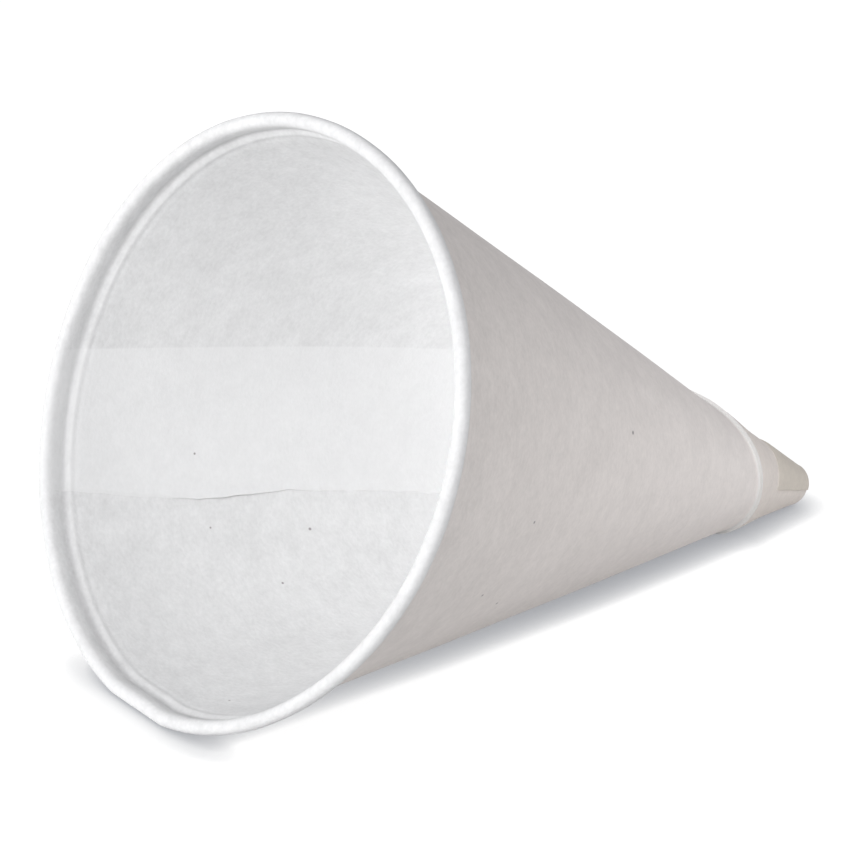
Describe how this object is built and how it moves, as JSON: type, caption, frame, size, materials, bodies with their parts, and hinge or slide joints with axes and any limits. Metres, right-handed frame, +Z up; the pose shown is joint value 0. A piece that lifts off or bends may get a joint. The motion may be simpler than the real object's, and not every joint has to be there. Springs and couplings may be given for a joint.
{
  "type": "paper cone cup",
  "caption": "White paper cone cup lying on its side: a sheet of paper wound into a pointed cone, glued along its lap and curled into a rolled rim at the mouth.",
  "frame": {"origin": "on the floor, under the centre of the cup's bounding box", "axes": "+Z up; the cup lies on its side with its mouth toward -X and its tip toward +X, and rests on its rim and its tip"},
  "size_m": [0.0976, 0.0738, 0.0676],
  "materials": {
    "paper": "matte"
  },
  "bodies": {
    "root": {"paper_cone": "paper"}
  },
  "joints": []
}
